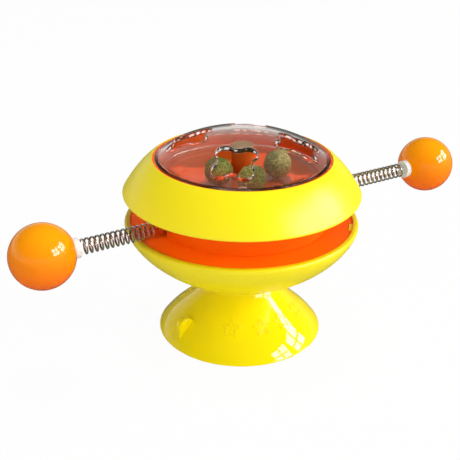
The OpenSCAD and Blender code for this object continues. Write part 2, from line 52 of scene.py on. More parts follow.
# Foot, with its slope in degrees at heights along its side
FOOT_R, FOOT_LIP, FOOT_H, NECK_R = 39.5, 1.2, 27.5, 15.9
LIP_UNDER = (FOOT_R - 0.15, FOOT_LIP - 0.2)
LIP_OVER = (FOOT_R - 0.35, FOOT_LIP + 0.15)
FOOT_SLOPE = (
    (1.35, 58.0), (3.2, 52.5), (4.5, 49.0), (6.4, 45.5), (8.0, 43.0), (10.0, 41.6), (14.0, 41.4),
    (18.0, 42.0), (21.0, 43.5), (22.2, 47.0), (23.6, 55.0), (25.0, 68.0), (26.2, 78.0), (27.5, 84.0))
FOOT_STEPS = 100
CAVITY_R, CAVITY_TOP_R, CAVITY_H, CAVITY_ROUND = 36.6, 16.0, 15.0, 3.0
CAVITY_STEP = ((30.0, 4.9), (29.4, 4.7))
STEM_R, STEM_FLANGE_R, STEM_FLANGE_Z, STEM_LOW = 8.02, 11.02, 20.52, 18.0
TAB_AT, TAB_R, TAB_T, TAB_EDGE, TAB_TURN = (32.15, 9.8), 4.4, 3.2, 0.4, 184.5
TAB_ROOT = ((TAB_AT[0] + TAB_R, 4.1), (35.2, 3.6), (30.6, 7.2))

# Stars on the foot
STAR_TURNS = (-130.6, -100.2, -76.3, -49.6, 49.4, 79.8, 103.7, 130.4)
STAR_Z, STAR_HALF, STAR_PROUD = 13.5, 3.5, 0.02
STAR_POINT_R, STAR_HOLLOW_R, STAR_RIDGE_R = 4.4, 2.0, 0.24

# Bowl, with its bosses and lugs
BOWL_R, BOWL_TOP, BOWL_FLAT_R, BOWL_POWER = 54.9, 58.85, 9.4, 1.279
BOWL_FLOOR, BOWL_HOLE_R, SEAT_R, SEAT_ROUND = 31.0, 6.1, 15.5, 0.3
RIM_ROUND, RIM_IN_R, LEDGE_R, LEDGE_Z = 1.4, 52.0, 49.5, 55.8
BOWL_BOSS_AT, BOWL_BOSS_R, BOWL_BOSS_TURNS = 30.0, 3.5, (90, 210, 330)
BOWL_BOSS_LOW, BOWL_BOSS_TOP, BOWL_BORE_LOW = 35.0, 52.5, 46.5
LUG_SIZE, LUG_EDGE, LUG_TURNS = (2.4, 7.6, 3.5), 0.35, (-42.5, 137.5)
LUG_R, LUG_Z = RIM_IN_R - 0.7, 56.55

# Ring, with outside and inside curves from a low point to a top point, each leaning towards a pull
RING_LOW, RING_PULL, RING_TOP = (55.0, 72.9), (48.2, 84.4), (41.5, 88.62)
RING_IN_LOW, RING_IN_PULL, RING_IN_TOP = (52.4, 72.9), (45.9, 82.8), (43.7, 84.4)
RING_EDGE, RING_BORE, RING_LIP_Z = 0.9, 41.1, 88.8
RING_UNDER = ((52.3, 72.2), (52.6, 72.0))
FLANGE_R, FLANGE_LOW, FLANGE_TOP = 37.5, 76.9, 78.9

# Tray, with its post and cap
TRAY_LOW, TRAY_R, TRAY_Z, PAN_R = 76.2, 37.4, 78.2, 35.4
TRAY_SEAT_Z, TRAY_RIM_R, TRAY_RIM_IN, TRAY_RIM_TOP = 80.9, 41.0, 40.2, 88.5
TRAY_BOSS_AT, TRAY_BOSS_R, TRAY_BOSS_TURNS = 20.0, 3.2, (45, 135, 225, 315)
TRAY_BOSS_LOW, TRAY_BOSS_TOP, TRAY_BORE_TOP = 72.9, 77.4, 77.2
POST_R, POST_BORE, POST_TOP = 5.1, 3.3, 92.5
STOPPER_R, STOPPER_LOW, STOPPER_TOP = 3.28, 88.5, 93.9
STOPPER_DISH_OUT, STOPPER_DISH_IN, STOPPER_DISH_Z = 4.0, 3.8, 93.75

# Dome, cut from a ball, with four bone-shaped holes
DOME_R, DOME_BORE, DOME_LOW = 39.9, 37.7, 81.0
DOME_BALL, DOME_BALL_Z, DOME_WALL = 73.885, 26.615, 2.2
DOME_LIMIT, DOME_IN_LIMIT = DOME_R - 0.5, DOME_BORE - 0.25
DOME_LAYERS, DOME_CROWDING = 9, 1.4
HOLE_AT, HOLE_TURNS = 24.5, (-130.5, -40.5, 49.5, 139.5)
LOBE_R, LOBE_ALONG, LOBE_ACROSS = 4.1, 5.15, 5.1
WAIST_ALONG, WAIST_ACROSS = 7.45, 7.4
HOLE_POINTS, HOLE_FILLET, HOLE_EASING = 128, 0.35, 14

# Arms, each with its sign along X, its ball's reach, its curls and the places of its sway and bob hinges
ARM_Z = 62.8
ARMS = {"left": (-1, 97.5, 15.0, 52.0, 70.0), "right": (1, 115.4, 19.5, 56.0, 82.0)}
BALL_R, BALL_WALL, BALL_HOLE_R = 14.2, 1.4, 2.22
CAP_R, CAP_T, CAP_SEAT_R, CAP_BORE_R, CAP_BORE_DEEP = 4.4, 2.6, 3.2, 0.55, 2.2
CAP_COLLAR_R, CAP_COLLAR = 1.3, 0.15
CAP_DISH_IN, CAP_DISH_OUT, CAP_DISH = 1.5, 3.4, 0.12
CAP_RIM_R, CAP_RIM_ROUND = 3.7, 0.45
PLUG_R, PLUG_BARB_R, PLUG_TIP_R = 2.2, 2.7, 1.7
PLUG_BARB_BACK, PLUG_TIP_BACK = 12.4, 10.0
CAP_SEAT = math.sqrt(BALL_R ** 2 - CAP_R ** 2)
SPRING_BACK = CAP_SEAT + CAP_T + 0.1
SPRING_FROM, SPRING_LEG, SPRING_TAIL = 45.0, 26.0, 2.4
COIL_R, COIL_INSIDE_R, WIRE_R, OPENING = 3.21, 3.2, 0.46, 0.75
LEG_STEPS, CURL_STEPS, TAIL_STEPS = 9, 28, 3
BEND_BEFORE, BEND_GAP, BEND_AFTER = 7.0, 2.0, 8.0

# Catnip balls, each with its distance from the axis and its angle
CATNIP_R, CATNIP_Z = 6.5, 85.0
CATNIP_AT = ((15.9, -34.5), (19.2, -110.5), (14.4, -168.5))
CRUMB_SUNK, CRUMB_DEEP, CRUMB_FINE = 0.28, 0.22, 3.1
SCRAP_SIZE, SCRAP_TILT, SCRAPS_PER_AREA = (1.1, 0.32, 0.12), 0.25, 1.6e6
FIRST_SEED = 11


# Node nets

class Socket:
    """A node's output that takes part in plain arithmetic."""

    def __init__(self, net, output):
        self.net = net
        self.output = output

    def maths(self, operation, first, second=0.0):
        return self.net.node("ShaderNodeMath", {"operation": operation}, {0: first, 1: second})

    def __add__(self, other):
        return self.maths("ADD", self, other)

    def __sub__(self, other):
        return self.maths("SUBTRACT", self, other)

    def __rsub__(self, other):
        return self.maths("SUBTRACT", other, self)

    def __mul__(self, other):
        return self.maths("MULTIPLY", self, other)

    def __truediv__(self, other):
        return self.maths("DIVIDE", self, other)

    def __pow__(self, other):
        return self.maths("POWER", self, other)

    def __abs__(self):
        return self.maths("ABSOLUTE", self)

    def clamped(self):
        return self.net.node("ShaderNodeClamp", {}, {"Value": self})

    def above(self, start, width):
        """0 up to start, and from there rising to 1 over a width."""
        return ((self - start) / width).clamped()

    def below(self, end, width):
        """1 up to a width before end, and from there falling to 0."""
        return ((end - self) / width).clamped()

    __radd__ = __add__
    __rmul__ = __mul__


class Net:
    """A tree of nodes, for a material, the world or a geometry group."""

    def __init__(self, tree):
        self.tree = tree

    def node(self, kind, settings=None, inputs=None, output=0):
        made = self.tree.nodes.new(kind)
        for name, value in (settings or {}).items():
            if name == "stops":
                ramp = made.color_ramp.elements
                while len(ramp) < len(value):
                    ramp.new(1.0)
                for stop, (place, colour) in zip(ramp, value):
                    stop.position = place
                    stop.color = colour
            else:
                setattr(made, name, value)
        for name, value in (inputs or {}).items():
            if isinstance(value, Socket):
                self.tree.links.new(value.output, made.inputs[name])
            else:
                made.inputs[name].default_value = value
        return Socket(self, made.outputs[output]) if made.outputs else made

    def also(self, socket, output):
        """Another output of the node that a socket belongs to."""
        return Socket(self, socket.output.node.outputs[output])

    def mixed(self, share, first, second):
        """Colour between two colours."""
        return self.node("ShaderNodeMix", {"data_type": "RGBA"}, {0: share, 6: first, 7: second}, 2)

    def either(self, share, first, second):
        """Shader between two shaders."""
        return self.node("ShaderNodeMixShader", {}, {0: share, 1: first, 2: second})

    def noise(self, place, scale, detail, rough=0.5):
        inputs = {"Vector": place, "Scale": scale, "Detail": detail, "Roughness": rough}
        return self.node("ShaderNodeTexNoise", {}, inputs)

    def bump(self, height, strength, depth):
        inputs = {"Height": height, "Strength": strength, "Distance": depth}
        return self.node("ShaderNodeBump", {}, inputs)


def rgb(red, green, blue):
    return (red, green, blue, 1.0)


BLACK, WHITE = rgb(0.0, 0.0, 0.0), rgb(1.0, 1.0, 1.0)


# Materials

class Finish(Net):
    """A material under construction, with Object coordinates at hand."""

    def __init__(self, name):
        self.material = bpy.data.materials.new(name)
        self.material.use_nodes = True
        super().__init__(self.material.node_tree)
        self.tree.nodes.clear()
        self.place = self.node("ShaderNodeTexCoord", output="Object")

    def shader(self, **inputs):
        names = {key.replace("_", " ").title().replace("Ior", "IOR"): value for key, value in inputs.items()}
        return self.node("ShaderNodeBsdfPrincipled", {}, names)

    def done(self, surface):
        self.node("ShaderNodeOutputMaterial", {}, {"Surface": surface})
        return self.material


def moulded(name, colour, deep, rough, grain, ripple=0.0, gloss=0.5, rise=None):
    """Moulded plastic: clouded colour, uneven gloss, a fine grain and a slow ripple.

    With rise, a (low, high) pair of heights, the colour goes from deep to colour between them: painted shade
    and light, darker and redder towards the bottom, lighter and yellower towards the top.
    """
    net = Finish(name)
    cloud = net.noise(net.place, scale=38.0, detail=3.0)
    speck = net.noise(net.place, scale=2600.0, detail=1.0)
    wave = net.noise(net.place, scale=16.0, detail=1.0)
    share = cloud * 0.55 + speck * 0.12
    # Painted shade: with rise, the colour darkens towards the bottom by height.
    if rise:
        low, high = rise
        level = net.node("ShaderNodeSeparateXYZ", {}, {0: net.place}, "Z")
        share = (share * 0.2 + (level - low * MM) / ((high - low) * MM)).clamped()
    relief = speck * grain + wave * ripple
    skin = net.shader(
        base_color=net.mixed(share, deep, colour), roughness=rough + (cloud - 0.5) * rough * 0.35,
        normal=net.bump(relief, strength=0.5, depth=0.4 * MM), specular_ior_level=gloss)
    return net.done(skin)


def drawn_metal(name, colour, dark, rough, stretch, coil=None):
    """Drawn or turned metal: streaks in its colour and gloss, drawn out by the stretch of its coordinates.

    With coil, a (height, radius) pair of an axis along X, the metal inside that radius is painted brown:
    painted shade and painted warm reflection on the inner side of the coils.
    """
    net = Finish(name)
    along = net.node("ShaderNodeMapping", {}, {"Vector": net.place, "Scale": stretch})
    streak = net.noise(along, scale=900.0, detail=3.0)
    shade = net.mixed(streak, dark, colour)
    if coil:
        height, radius = coil
        y = net.node("ShaderNodeSeparateXYZ", {}, {0: net.place}, "Y")
        z = net.also(y, "Z") - height * MM
        # Painted shade and reflection: metal near the coil's axis turns brown.
        painted_shade_inside = ((y * y + z * z) ** 0.5).below(radius * MM, 0.2 * MM)
        shade = net.mixed(painted_shade_inside, shade, rgb(0.55, 0.37, 0.25))
    skin = net.shader(
        base_color=shade, metallic=1.0, roughness=rough * (0.6 + streak * 0.8),
        normal=net.bump(streak, strength=0.15, depth=0.1 * MM))
    return net.done(skin)


def smoky_clear(name):
    """Smoky clear plastic with painted dark reflections and glowing painted glints where its wall is cut, and
    a painted dark line round its rim.

    Light that goes through it to other pieces takes a plain tint, so that the tray below is lit through it.
    """
    net = Finish(name)
    haze = net.noise(net.place, scale=60.0, detail=2.0)
    tint = net.mixed(haze, rgb(0.90, 0.84, 0.80), rgb(0.93, 0.87, 0.83))

    x = net.node("ShaderNodeSeparateXYZ", {}, {0: net.place})
    y, z = net.also(x, "Y"), net.also(x, "Z") - DOME_BALL_Z * MM
    across = x * x + y * y
    radius = across ** 0.5
    out = (across + z * z) ** 0.5
    inset, cut_fade = 0.185, 0.15 * MM
    upper, lower = (DOME_BALL - inset) * MM, (DOME_BALL - DOME_WALL + inset) * MM
    in_wall = out.below(upper, cut_fade) * out.above(lower, cut_fade)
    # Painted dark reflections: a near-black colour near both faces of the cut wall, seen from outside, and a
    # dark line round the rim.
    middle, line_from, line_fade = (DOME_BALL - DOME_WALL / 2) * MM, 0.36 * MM, 0.3 * MM
    painted_dark_bands = abs(out - middle).above(line_from, line_fade)
    rim_r, rim_z = (DOME_R - 1.0) * MM, 61.2 * MM
    rim = radius.above(rim_r, line_fade) * z.above(rim_z, line_fade)
    outside = 1.0 - net.node("ShaderNodeNewGeometry", output="Backfacing")
    edge = (in_wall * painted_dark_bands * outside + rim).clamped()
    # Painted glints: a white glow in noise patches on the cut wall, between the dark bands, in place of
    # reflected highlights.
    patches = net.noise(net.place, scale=420.0, detail=1.0).above(0.48, 0.125)
    painted_glint = patches * in_wall * (1.0 - painted_dark_bands)
    clear = net.shader(
        base_color=net.mixed(edge, tint, rgb(0.05, 0.04, 0.04)), roughness=0.01 + haze * 0.02,
        transmission_weight=1.0, ior=1.32, specular_ior_level=0.9,
        emission_color=net.mixed(painted_glint, BLACK, rgb(1.0, 0.97, 0.94)), emission_strength=0.7)
    film = net.node("ShaderNodeBsdfDiffuse", {}, {"Color": rgb(0.58, 0.40, 0.14)})
    body = net.either(0.012 + haze * 0.015, clear, film)

    skirt = radius.above((DOME_BORE - 0.3) * MM, 0.2 * MM)
    shade = net.mixed(skirt, rgb(0.41, 0.53, 0.34), WHITE)
    through = net.node("ShaderNodeBsdfTransparent", {}, {"Color": shade})
    path = net.node("ShaderNodeLightPath", output="Is Shadow Ray")
    lighting = (path + net.also(path, "Diffuse Depth")).clamped()
    return net.done(net.either(lighting, body, through))


def pressed_leaf(name):
    """Pressed dry leaf: olive and brown flecks over a coarse, crumbly surface."""
    net = Finish(name)
    crumb = net.noise(net.place, scale=1000.0, detail=4.0, rough=0.7)
    fleck = net.node("ShaderNodeTexVoronoi", {}, {"Vector": net.place, "Scale": 900.0}, "Distance")
    patch = net.noise(net.place, scale=160.0, detail=2.0)
    dark, olive, pale = rgb(0.12, 0.090, 0.020), rgb(0.42, 0.35, 0.095), rgb(0.88, 0.76, 0.36)
    leaf = net.node("ShaderNodeValToRGB", {"stops": [(0.30, dark), (0.50, olive), (0.72, pale)]}, {0: crumb})
    skin = net.shader(
        base_color=net.mixed((patch - 0.40) * 0.8, leaf, rgb(0.26, 0.22, 0.06)),
        roughness=0.82 + crumb * 0.15,
        normal=net.bump(crumb * 0.7 + fleck * 0.6, strength=0.8, depth=0.6 * MM))
    return net.done(skin)


FINISH = {
    "foot": moulded("gloss_yellow", rgb(0.96, 0.80, 0.003), rgb(0.92, 0.73, 0.002),
                    rough=0.025, grain=0.01, ripple=0.05, gloss=0.6),
    "shell": moulded("satin_yellow", rgb(0.96, 0.82, 0.006), rgb(0.91, 0.76, 0.004),
                     rough=0.30, grain=0.3, ripple=0.2, gloss=0.5),
    "inside": moulded("satin_orange", rgb(0.98, 0.145, 0.001), rgb(0.95, 0.125, 0.001),
                      rough=0.36, grain=0.3, ripple=0.2, gloss=0.1),
    "tray": moulded("tray_orange", rgb(0.92, 0.145, 0.020), rgb(0.87, 0.125, 0.016),
                    rough=0.16, grain=0.1, ripple=0.2, gloss=0.2),
    # Painted shade on the balls: redder and darker towards the bottom, lighter and yellower towards the top.
    "ball": moulded("gloss_orange", rgb(0.98, 0.34, 0.001), rgb(0.96, 0.105, 0.001),
                    rough=0.11, grain=0.03, ripple=0.05, gloss=0.6, rise=(50.0, 78.0)),
    "cap": moulded("milky_white", rgb(0.88, 0.87, 0.84), rgb(0.80, 0.79, 0.75), rough=0.30, grain=0.2),
    "post": moulded("tan_cap", rgb(0.99, 0.36, 0.09), rgb(0.96, 0.33, 0.08), rough=0.35, grain=0.3),
    "acetal": moulded("acetal", rgb(0.86, 0.85, 0.80), rgb(0.78, 0.77, 0.71), rough=0.40, grain=0.3),
    "dome": smoky_clear("smoky_clear"),
    "leaf": pressed_leaf("pressed_leaf"),
    # The wire's coils carry painted brown shade and reflection on their inner side.
    "wire": drawn_metal("bright_wire", rgb(0.97, 0.96, 0.95), rgb(0.84, 0.82, 0.80),
                        rough=0.22, stretch=(0.15, 1.0, 1.0), coil=(ARM_Z, COIL_INSIDE_R)),
    "zinc": drawn_metal("zinc_plate", rgb(0.70, 0.71, 0.73), rgb(0.56, 0.57, 0.58),
                        rough=0.28, stretch=(1.0, 1.0, 0.2)),
    "pin": drawn_metal("turned_pin", rgb(0.76, 0.75, 0.72), rgb(0.58, 0.57, 0.55),
                       rough=0.24, stretch=(0.2, 1.0, 1.0)),
}
CAD_FINISH = {
    "bowl_liner": "inside", "rotor_drum": "inside", "base_stem": "acetal", "thrust_washer": "acetal",
    "lower_bush": "acetal", "upper_bush": "acetal", "stem_screw": "zinc", "liner_screws": "zinc",
    "axle": "zinc", "retaining_washer": "zinc", "retaining_screw": "zinc", "tray_screws": "zinc",
    "left_spring_anchor": "pin", "right_spring_anchor": "pin",
}


# Outlines and shapes

def arc(centre, radius, start, stop, steps):
    """Points on a circle from one angle to another, in degrees."""
    angles = [math.radians(start + (stop - start) * i / steps) for i in range(steps + 1)]
    return [(centre[0] + radius * math.cos(a), centre[1] + radius * math.sin(a)) for a in angles]


def bow(first, pull, last, steps):
    """Points on a curve from first to last that leans towards pull."""
    points = []
    for i in range(steps + 1):
        u = i / steps
        points.append(tuple(
            (1 - u) ** 2 * a + 2 * u * (1 - u) * k + u ** 2 * b for a, k, b in zip(first, pull, last)))
    return points


def softened(corners, steps=5):
    """Outline through (radius, height, fillet) corners, with each corner rounded by its fillet."""
    most = 0.48
    points = []
    for i, (r, h, fillet) in enumerate(corners):
        here = Vector((r, h))
        if not fillet or i in (0, len(corners) - 1):
            points.append((r, h))
            continue
        back = Vector(corners[i - 1][:2]) - here
        on = Vector(corners[i + 1][:2]) - here
        first = here + back.normalized() * min(fillet, back.length * most)
        last = here + on.normalized() * min(fillet, on.length * most)
        points += bow(first, here, last, steps)
    return points


def spin(turn):
    """A turn about the Z axis, in degrees."""
    return Matrix.Rotation(math.radians(turn), 4, "Z")


def lofted(loops, count):
    """Faces between loops of count points each, from one loop to the next."""
    faces = []
    for i in range(loops - 1):
        low, high = i * count, (i + 1) * count
        for s in range(count):
            t = (s + 1) % count
            faces.append([low + s, low + t, high + t, high + s])
    return faces


def ends(loops, count):
    """Flat faces that close the first and last of these loops."""
    return [list(range(count)), list(range((loops - 1) * count, loops * count))]


class Shape:
    """Vertices and faces of one piece."""

    def __init__(self):
        self.verts = []
        self.faces = []

    def add(self, verts, faces, place=None):
        base = len(self.verts)
        self.verts += [place @ Vector(v) if place else Vector(v) for v in verts]
        self.faces += [[base + i for i in face] for face in faces]
        return self

    def turned(self, outline, sides, place=None, looped=False):
        """An outline of (radius, height) points turned round its height axis.

        A looped outline ends where it starts.
        """
        rings = []
        verts = []
        turns = [2 * math.pi * s / sides for s in range(sides)]
        for r, h in outline:
            if r < 1e-6:
                rings.append([len(verts)] * sides)
                verts.append((0, 0, h))
            else:
                rings.append(list(range(len(verts), len(verts) + sides)))
                verts += [(r * math.cos(t), r * math.sin(t), h) for t in turns]
        pairs = list(zip(rings, rings[1:]))
        if looped:
            pairs.append((rings[-1], rings[0]))
        faces = []
        for low, high in pairs:
            for s in range(sides):
                t = (s + 1) % sides
                corners = [low[s], low[t], high[t], high[s]]
                face = [c for i, c in enumerate(corners) if c not in corners[:i]]
                if len(face) > 2:
                    faces.append(face)
        return self.add(verts, faces, place)

    def tube(self, path, radius, place, sides=12):
        """A round wire along a path of (point, outward direction) pairs, closed at both ends."""
        turns = [2 * math.pi * s / sides for s in range(sides)]
        last = len(path) - 1
        verts = []
        for i, (point, out) in enumerate(path):
            run = (path[min(i + 1, last)][0] - path[max(i - 1, 0)][0]).normalized()
            side = (out - out.dot(run) * run).normalized()
            across = run.cross(side)
            verts += [point + radius * (math.cos(t) * side + math.sin(t) * across) for t in turns]
        return self.add(verts, lofted(len(path), sides) + ends(len(path), sides), place)

    def plate(self, outline, thickness, edge, place):
        """A flat plate with this outline in XY, thick in Z, with rounded edges."""
        count = len(outline)
        middle = Vector((sum(p[0] for p in outline) / count, sum(p[1] for p in outline) / count))
        layers = []
        for angle in (90, 60, 30, 0):
            a = math.radians(angle)
            layers.append((edge * (1 - math.cos(a)), thickness / 2 - edge * (1 - math.sin(a))))
        layers += [(inset, -z) for inset, z in reversed(layers)]
        verts = []
        for inset, z in layers:
            for p in outline:
                way = middle - Vector(p)
                spot = Vector(p) + way.normalized() * inset
                verts.append((spot.x, spot.y, z))
        return self.add(verts, lofted(len(layers), count) + ends(len(layers), count), place)

    def bosses(self, turns, at, radius, root, end, bore_end):
        """Screw bosses on a circle, from root to end, each with a blind bore from its end."""
        outline = softened([
            (0, root, 0), (radius, root, 0), (radius, end, 0.3), (BORE_R, end, 0), (BORE_R, bore_end, 0),
            (0, bore_end, 0)])
        for turn in turns:
            self.turned(outline, 40, spin(turn) @ Matrix.Translation((at, 0, 0)))


def plain_mesh(work):
    """Vertices and faces of a bmesh, which is freed."""
    work.verts.index_update()
    verts = [v.co.copy() for v in work.verts]
    faces = [[v.index for v in f.verts] for f in work.faces]
    work.free()
    return verts, faces


def softened_box(size, edge):
    """Vertices and faces of a block with rounded edges."""
    work = bmesh.new()
    bmesh.ops.create_cube(work, size=1.0)
    bmesh.ops.scale(work, vec=size, verts=work.verts)
    bmesh.ops.bevel(work, geom=work.edges[:], offset=edge, segments=3, profile=0.5, affect="EDGES")
    return plain_mesh(work)


def make(name, shape, finish, crease):
    """An object with this shape's mesh, merged, facing outwards and smooth up to the crease angle."""
    mesh = bpy.data.meshes.new(name)
    mesh.from_pydata([v * MM for v in shape.verts], [], shape.faces)
    work = bmesh.new()
    work.from_mesh(mesh)
    bmesh.ops.remove_doubles(work, verts=work.verts, dist=MERGE * MM)
    bmesh.ops.recalc_face_normals(work, faces=work.faces)
    work.to_mesh(mesh)
    work.free()
    mesh.shade_smooth()
    mesh.set_sharp_from_angle(angle=math.radians(crease))
    mesh.materials.append(FINISH[finish])
    piece = bpy.data.objects.new(name, mesh)
    bpy.context.scene.collection.objects.link(piece)
    return piece


def fit(piece, body, slot, *nodes):
    """Puts a finished piece on its body in place of its CAD nodes."""
    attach(piece, body)
    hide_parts(*nodes)


def geometry_net(name, sizes):
    """A geometry group with named inputs for its sizes, and the net to fill it."""
    group = bpy.data.node_groups.new(name, "GeometryNodeTree")
    group.interface.new_socket("Geometry", in_out="INPUT", socket_type="NodeSocketGeometry")
    for label, value in sizes.items():
        kind = "NodeSocketInt" if isinstance(value, int) else "NodeSocketFloat"
        group.interface.new_socket(label, in_out="INPUT", socket_type=kind).default_value = value
    group.interface.new_socket("Geometry", in_out="OUTPUT", socket_type="NodeSocketGeometry")
    net = Net(group)
    entry = group.nodes.new("NodeGroupInput")
    return net, {label: Socket(net, entry.outputs[label]) for label in ["Geometry", *sizes]}


def close_net(net, geometry, finish):
    """Ends a geometry group in real, painted meshes."""
    real = net.node("GeometryNodeRealizeInstances", {}, {"Geometry": geometry})
    painted = net.node("GeometryNodeSetMaterial", {}, {"Geometry": real, "Material": FINISH[finish]})
    net.node("NodeGroupOutput", {}, {"Geometry": painted})
    return net.tree


def grow(piece, group, values):
    """Runs a geometry group on a piece and keeps the result as its plain mesh."""
    modifier = piece.modifiers.new(group.name, "NODES")
    modifier.node_group = group
    for item in group.interface.items_tree:
        if item.item_type == "SOCKET" and item.in_out == "INPUT" and item.name in values:
            modifier[item.identifier] = values[item.name]
    bpy.context.view_layer.update()
    depsgraph = bpy.context.evaluated_depsgraph_get()
    mesh = bpy.data.meshes.new_from_object(piece.evaluated_get(depsgraph))
    piece.modifiers.remove(modifier)
    piece.data = mesh


# Foot

def foot_curve():
    """Side of the foot from its lip to its neck, built up from its slope."""
    r, low = LIP_OVER
    rise = (FOOT_H - low) / FOOT_STEPS
    points = [(r, low)]
    for i in range(FOOT_STEPS):
        middle = low + rise * (i + 0.5)
        above = next(k for k in range(1, len(FOOT_SLOPE)) if FOOT_SLOPE[k][0] >= middle)
        (z0, s0), (z1, s1) = FOOT_SLOPE[above - 1], FOOT_SLOPE[above]
        slope = s0 + (s1 - s0) * (middle - z0) / (z1 - z0)
        r -= rise / math.tan(math.radians(slope))
        points.append((r, low + rise * (i + 1)))
    return points


def foot_radius(height):
    """Radius of the foot's side at a height above its lip."""
    points = foot_curve()
    (r0, h0), (r1, h1) = next(pair for pair in zip(points, points[1:]) if pair[1][1] >= height)
    return r0 + (r1 - r0) * (height - h0) / (h1 - h0)


def make_foot():
    under = softened([
        (0, CAVITY_H, 0), (CAVITY_TOP_R, CAVITY_H, CAVITY_ROUND), (*CAVITY_STEP[0], 0),
        (*CAVITY_STEP[1], 0.3), (CAVITY_R, 0, 0.3), (*LIP_UNDER, 0.1), (FOOT_R, FOOT_LIP, 0.15),
        (*LIP_OVER, 0)])
    socket = [
        (NECK_R, FOOT_H), (STEM_R, FOOT_H), (STEM_R, STEM_FLANGE_Z), (STEM_FLANGE_R, STEM_FLANGE_Z),
        (STEM_FLANGE_R, STEM_LOW), (0, STEM_LOW)]
    shape = Shape().turned(under + foot_curve()[1:-1] + socket, 220)
    tab = arc(TAB_AT, TAB_R, 160, 0, 24) + list(TAB_ROOT)
    shape.plate(tab, TAB_T, TAB_EDGE, spin(TAB_TURN) @ Matrix.Rotation(math.radians(90), 4, "X"))
    fit(make("suction_foot", shape, "foot", crease=50), "stand", "foot_plastic", "suction_base")


def star_net():
    """Raised star outlines at points, bent to the side of the foot. Each run brings the foot's values."""
    net, size = geometry_net("star_ridges", {
        "Point radius": STAR_POINT_R * MM, "Hollow radius": STAR_HOLLOW_R * MM,
        "Ridge radius": STAR_RIDGE_R * MM, "Height": STAR_Z * MM,
        "Lean": 0.0, "Radius": 0.0, "Slope": 0.0, "Bend": 0.0})
    star = net.node("GeometryNodeCurveStar", {}, {
        "Points": 5, "Inner Radius": size["Hollow radius"], "Outer Radius": size["Point radius"]})
    upright = net.node("GeometryNodeTransform", {}, {"Geometry": star, "Rotation": (0, 0, math.pi / 2)})
    fine = net.node("GeometryNodeResampleCurve", {}, {"Curve": upright, "Count": 80})
    spot = net.node("GeometryNodeInputPosition")
    x = net.node("ShaderNodeSeparateXYZ", {}, {0: spot})
    y, z = net.also(x, "Y"), net.also(x, "Z")
    azimuth = x.maths("ARCTAN2", y, x) + math.pi / 2
    turn = net.node("ShaderNodeCombineXYZ", {}, {"X": size["Lean"], "Z": azimuth})
    facing = net.node("FunctionNodeEulerToRotation", {}, {0: turn})
    placed = net.node("GeometryNodeInstanceOnPoints", {}, {
        "Points": size["Geometry"], "Instance": fine, "Rotation": facing})
    loose = net.node("GeometryNodeRealizeInstances", {}, {"Geometry": placed})
    up = z - size["Height"]
    side = size["Radius"] + size["Slope"] * up + size["Bend"] * up * up
    scale = side / (x * x + y * y) ** 0.5
    bent = net.node("ShaderNodeCombineXYZ", {}, {"X": x * scale, "Y": y * scale, "Z": z})
    laid = net.node("GeometryNodeSetPosition", {}, {"Geometry": loose, "Position": bent})
    wire = net.node("GeometryNodeCurvePrimitiveCircle", {}, {"Resolution": 8, "Radius": size["Ridge radius"]})
    ridge = net.node("GeometryNodeCurveToMesh", {}, {"Curve": laid, "Profile Curve": wire})
    smooth = net.node("GeometryNodeSetShadeSmooth", {}, {"Geometry": ridge})
    return close_net(net, smooth, "foot")


def make_stars():
    low, r, high = (foot_radius(STAR_Z + up) for up in (-STAR_HALF, 0, STAR_HALF))
    slope = (high - low) / (2 * STAR_HALF)
    bend = (high + low - 2 * r) / (2 * STAR_HALF ** 2)
    turns = [math.radians(a) for a in STAR_TURNS]
    shape = Shape().add([(r * math.cos(t), r * math.sin(t), STAR_Z) for t in turns], [])
    stars = make("foot_stars", shape, "foot", crease=40)
    grow(stars, star_net(), {
        "Radius": (r + STAR_PROUD) * MM, "Slope": slope, "Bend": bend / MM, "Lean": math.atan2(1.0, -slope)})
    fit(stars, "stand", "foot_plastic")


# Bowl

def bowl_curve(top_r, top, low, start, steps):
    """Side of the bowl from its rim to its flat middle."""
    points = []
    for i in range(steps + 1):
        t = math.radians(start + (90 - start) * i / steps)
        r = BOWL_FLAT_R + (top_r - BOWL_FLAT_R) * max(math.cos(t), 0.0) ** BOWL_POWER
        points.append((r, top - (top - low) * math.sin(t) ** BOWL_POWER))
    return points


def make_bowl():
    start = math.degrees(math.asin((RIM_ROUND / (BOWL_TOP - FOOT_H)) ** (1 / BOWL_POWER)))
    outer = bowl_curve(BOWL_R, BOWL_TOP, FOOT_H, start, 64)
    rim_r = outer[0][0] - RIM_ROUND
    rim = arc((rim_r, BOWL_TOP - RIM_ROUND), RIM_ROUND, 0, 90, 10)
    lip = softened([
        (rim_r, BOWL_TOP, 0), (RIM_IN_R, BOWL_TOP, 0.5), (RIM_IN_R, LEDGE_Z, 0), (LEDGE_R, LEDGE_Z, 0)])
    inner = bowl_curve(LEDGE_R, LEDGE_Z, BOWL_FLOOR, 0, 32)
    under = [p for p in reversed(outer) if p[0] > SEAT_R + SEAT_ROUND]
    seat = softened([
        (BOWL_HOLE_R, BOWL_FLOOR, 0), (BOWL_HOLE_R, FOOT_H, 0.2), (SEAT_R, FOOT_H, SEAT_ROUND),
        (SEAT_R, under[0][1], 0)])
    shape = Shape().turned(seat + under + rim + lip[1:] + inner[1:-1], 240, looped=True)
    shape.bosses(BOWL_BOSS_TURNS, BOWL_BOSS_AT, BOWL_BOSS_R, BOWL_BOSS_LOW, BOWL_BOSS_TOP, BOWL_BORE_LOW)
    for turn in LUG_TURNS:
        shape.add(*softened_box(LUG_SIZE, LUG_EDGE), spin(turn) @ Matrix.Translation((LUG_R, 0, LUG_Z)))
    fit(make("bowl", shape, "shell", crease=45), "stand", "yellow_shell", "lower_bowl")


# Ring, tray and post

